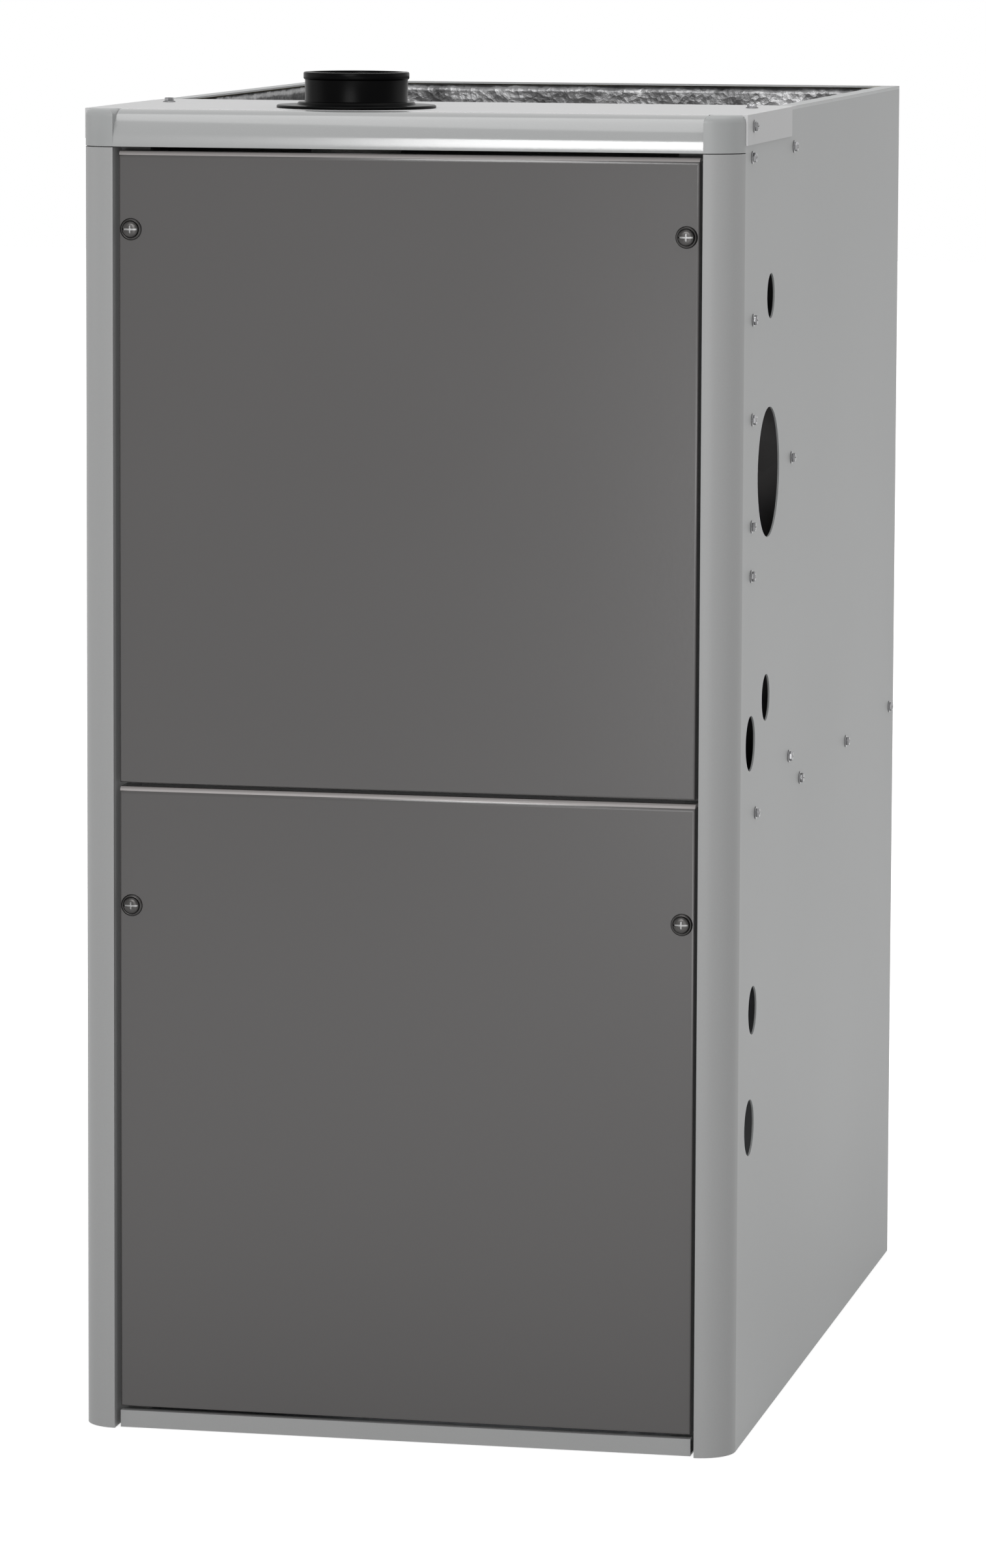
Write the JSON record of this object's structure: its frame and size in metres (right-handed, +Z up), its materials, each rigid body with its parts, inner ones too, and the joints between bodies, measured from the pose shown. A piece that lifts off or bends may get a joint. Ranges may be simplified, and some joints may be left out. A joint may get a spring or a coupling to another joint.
{
  "type": "forced air gas furnace",
  "caption": "Upflow condensing gas furnace cabinet with lift-off doors, top vent collar, open supply air top, side service holes and its burners, inducer and blower inside.",
  "frame": {"origin": "on the floor, in the middle of the cabinet's width and depth", "axes": "+Z up, +X to the right seen from the front, +Y to the back; the doors face -Y"},
  "size_m": [0.4534, 0.711, 0.913],
  "materials": {
    "cabinet_paint": "satin grey powder coat",
    "post_paint": "satin grey powder coat",
    "rail_paint": "semi-gloss grey powder coat",
    "top_paint": "satin light grey powder coat",
    "cap_plastic": "satin moulded plastic",
    "door_paint": "satin dark grey powder coat",
    "divider_paint": "satin dark paint",
    "galvanised_sheet": "zinc coated sheet",
    "foil_blanket": "glass wool blanket with crinkled foil facing",
    "collar_plastic": "black moulded plastic",
    "screw_zinc": "zinc plated",
    "fastener_metal": "dark nickel plated",
    "aluminised_steel": "aluminised, dull",
    "coil_aluminium": "bare fins",
    "black_plastic": "black moulded plastic",
    "sight_glass": "clear",
    "gas_pipe_paint": "black steel pipe",
    "valve_casting": "die cast",
    "red_plastic": "gloss",
    "ceramic_white": "glazed",
    "motor_paint": "black enamel",
    "bright_steel": "bright ground",
    "white_plastic": "white moulded plastic",
    "black_rubber": "matte",
    "board_green": "circuit board",
    "orange_plastic": "gloss"
  },
  "bodies": {
    "root": {"cabinet_wrapper": "cabinet_paint", "left_corner_post": "post_paint", "right_corner_post": "post_paint", "corner_caps": "cap_plastic", "top_front_rail": "rail_paint", "top_panel": "top_paint", "base_rail": "post_paint", "base_pan": "galvanised_sheet", "centre_divider": "divider_paint", "blower_deck": "galvanised_sheet", "partition_panel": "galvanised_sheet", "foil_insulation": "foil_blanket", "vent_collar": "collar_plastic", "cabinet_screws": "screw_zinc", "heat_exchanger_tubes": "aluminised_steel", "transition_box": "aluminised_steel", "secondary_coil": "coil_aluminium", "condensate_header": "black_plastic", "burner_box": "galvanised_sheet", "sight_glass": "sight_glass", "burners": "aluminised_steel", "gas_manifold": "gas_pipe_paint", "gas_valve": "valve_casting", "igniter": "ceramic_white", "flame_sensor": "ceramic_white", "rollout_switches": "black_plastic", "limit_switch": "black_plastic", "inducer_housing": "black_plastic", "inducer_motor": "motor_paint", "vent_coupling": "black_rubber", "hose_clamps": "bright_steel", "vent_bend": "white_plastic", "vent_pipe": "white_plastic", "pressure_switch": "black_plastic", "pressure_tube": "black_rubber", "condensate_trap": "black_plastic", "drain_hose": "black_rubber", "blower_housing": "galvanised_sheet", "blower_motor": "motor_paint", "motor_mount": "galvanised_sheet", "control_board": "board_green", "transformer": "motor_paint", "door_switch": "white_plastic", "junction_box": "galvanised_sheet", "wire_harness": "black_rubber"},
    "upper_door": {"upper_door": "door_paint"},
    "lower_door": {"lower_door": "door_paint"},
    "blower_rotor": {"blower_wheel": "galvanised_sheet", "blower_shaft": "bright_steel"},
    "inducer_rotor": {"inducer_wheel": "galvanised_sheet", "inducer_shaft": "bright_steel", "inducer_cooling_fan": "white_plastic"},
    "gas_valve_knob": {"gas_valve_knob": "red_plastic"},
    "reset_button_left": {"reset_button_left": "red_plastic"},
    "reset_button_right": {"reset_button_right": "red_plastic"},
    "door_switch_plunger": {"door_switch_plunger": "orange_plastic"},
    "upper_door_fastener_left": {"upper_door_fastener_left": "fastener_metal"},
    "upper_door_fastener_right": {"upper_door_fastener_right": "fastener_metal"},
    "lower_door_fastener_left": {"lower_door_fastener_left": "fastener_metal"},
    "lower_door_fastener_right": {"lower_door_fastener_right": "fastener_metal"}
  },
  "joints": [
    {"name": "upper_door_slide", "type": "slide", "parent": "root", "child": "upper_door", "axis": [0, -1, 0], "range_m": [0, 0.3]},
    {"name": "lower_door_slide", "type": "slide", "parent": "root", "child": "lower_door", "axis": [0, -1, 0], "range_m": [0, 0.3]},
    {"name": "upper_door_fastener_left_turn", "type": "hinge", "parent": "upper_door", "child": "upper_door_fastener_left", "pos_m": [-0.1872, -0.351, 0.8097], "axis": [0, -1, 0], "range_deg": [0, 90]},
    {"name": "upper_door_fastener_right_turn", "type": "hinge", "parent": "upper_door", "child": "upper_door_fastener_right", "pos_m": [0.1872, -0.351, 0.8097], "axis": [0, -1, 0], "range_deg": [0, 90]},
    {"name": "lower_door_fastener_left_turn", "type": "hinge", "parent": "lower_door", "child": "lower_door_fastener_left", "pos_m": [-0.1872, -0.351, 0.3566], "axis": [0, -1, 0], "range_deg": [0, 90]},
    {"name": "lower_door_fastener_right_turn", "type": "hinge", "parent": "lower_door", "child": "lower_door_fastener_right", "pos_m": [0.1872, -0.351, 0.3566], "axis": [0, -1, 0], "range_deg": [0, 90]},
    {"name": "gas_valve_knob_turn", "type": "hinge", "parent": "root", "child": "gas_valve_knob", "pos_m": [0.1753, -0.2535, 0.777], "axis": [0, -1, 0], "range_deg": [0, 90]},
    {"name": "blower_wheel_spin", "type": "hinge", "parent": "root", "child": "blower_rotor", "pos_m": [0, 0.1, 0.222], "axis": [1, 0, 0], "continuous": true},
    {"name": "inducer_wheel_spin", "type": "hinge", "parent": "root", "child": "inducer_rotor", "pos_m": [0.00285, -0.1947, 0.526], "axis": [0, 1, 0], "continuous": true},
    {"name": "reset_button_left_press", "type": "slide", "parent": "root", "child": "reset_button_left", "axis": [0, 0, -1], "range_m": [0, 0.002], "stiffness_N_per_m": 400},
    {"name": "reset_button_right_press", "type": "slide", "parent": "root", "child": "reset_button_right", "axis": [0, 0, -1], "range_m": [0, 0.002], "stiffness_N_per_m": 400},
    {"name": "door_switch_plunger_press", "type": "slide", "parent": "root", "child": "door_switch_plunger", "axis": [0, 1, 0], "range_m": [0, 0.003], "stiffness_N_per_m": 300}
  ]
}
